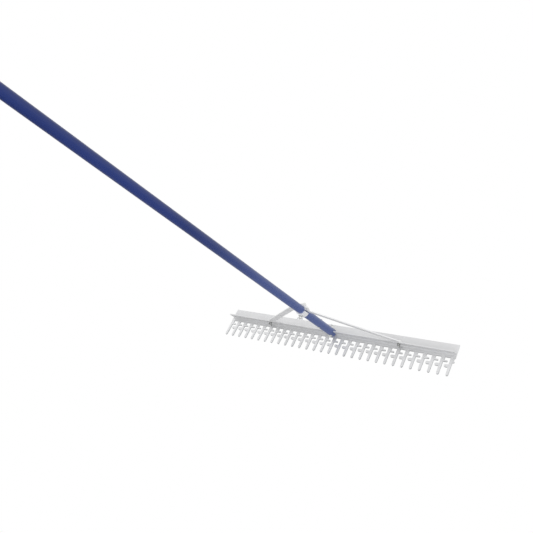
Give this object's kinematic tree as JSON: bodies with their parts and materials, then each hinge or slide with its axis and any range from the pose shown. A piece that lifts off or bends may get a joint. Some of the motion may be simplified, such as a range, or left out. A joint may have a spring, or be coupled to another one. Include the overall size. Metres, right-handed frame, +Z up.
{
  "type": "landscape rake",
  "caption": "Wide aluminium rake head with barbed flat teeth, bolted to a blue tube handle and held square by flat braces; wing nuts free the handle and the braces.",
  "frame": {"origin": "middle of the bounding box on the surface it lies on", "axes": "X along the head, +Y from the handle's butt to the head, Z up; the rake lies on its tooth tips and its butt"},
  "size_m": [0.9144, 1.695, 0.1152],
  "materials": {
    "aluminium": "mill-finish extruded and rolled aluminium, finely brushed along its length",
    "blue_paint": "smooth satin blue coating on thin-walled tube",
    "zinc": "bright zinc-plated steel",
    "black_vinyl": "matt black vinyl",
    "dowel_wood": "plain turned hardwood, hidden inside the handle's foot"
  },
  "bodies": {
    "rake": {"rake_head": "aluminium", "handle_tube": "blue_paint", "foot_dowel": "dowel_wood", "dowel_rivet": "zinc", "handle_end_cap": "black_vinyl", "left_brace": "aluminium", "right_brace": "aluminium", "handle_clamp": "aluminium", "left_brace_bolt": "zinc", "left_brace_washer": "zinc", "left_rib_washer": "zinc", "right_brace_bolt": "zinc", "right_brace_washer": "zinc", "right_rib_washer": "zinc", "foot_bolt": "zinc", "foot_upper_saddle_washer": "zinc", "foot_lower_saddle_washer": "zinc", "saddle_bolt": "zinc", "saddle_upper_saddle_washer": "zinc", "saddle_lower_saddle_washer": "zinc"},
    "foot_wing_nut": {"foot_wing_nut": "zinc"},
    "saddle_wing_nut": {"saddle_wing_nut": "zinc"},
    "left_wing_nut": {"left_wing_nut": "zinc"},
    "right_wing_nut": {"right_wing_nut": "zinc"}
  },
  "joints": [
    {"name": "foot_wing_nut_turn", "type": "hinge", "parent": "rake", "child": "foot_wing_nut", "pos_m": [0, 0.81594, 0.09975], "axis": [0, -0.0388, 0.9992], "continuous": true},
    {"name": "saddle_wing_nut_turn", "type": "hinge", "parent": "rake", "child": "saddle_wing_nut", "pos_m": [0, 0.59628, 0.04808], "axis": [0, 0.0388, -0.9992], "continuous": true},
    {"name": "left_wing_nut_turn", "type": "hinge", "parent": "rake", "child": "left_wing_nut", "pos_m": [-0.264, 0.81694, 0.07407], "axis": [0, 0.0388, -0.9992], "continuous": true},
    {"name": "right_wing_nut_turn", "type": "hinge", "parent": "rake", "child": "right_wing_nut", "pos_m": [0.264, 0.81694, 0.07407], "axis": [0, 0.0388, -0.9992], "continuous": true}
  ]
}
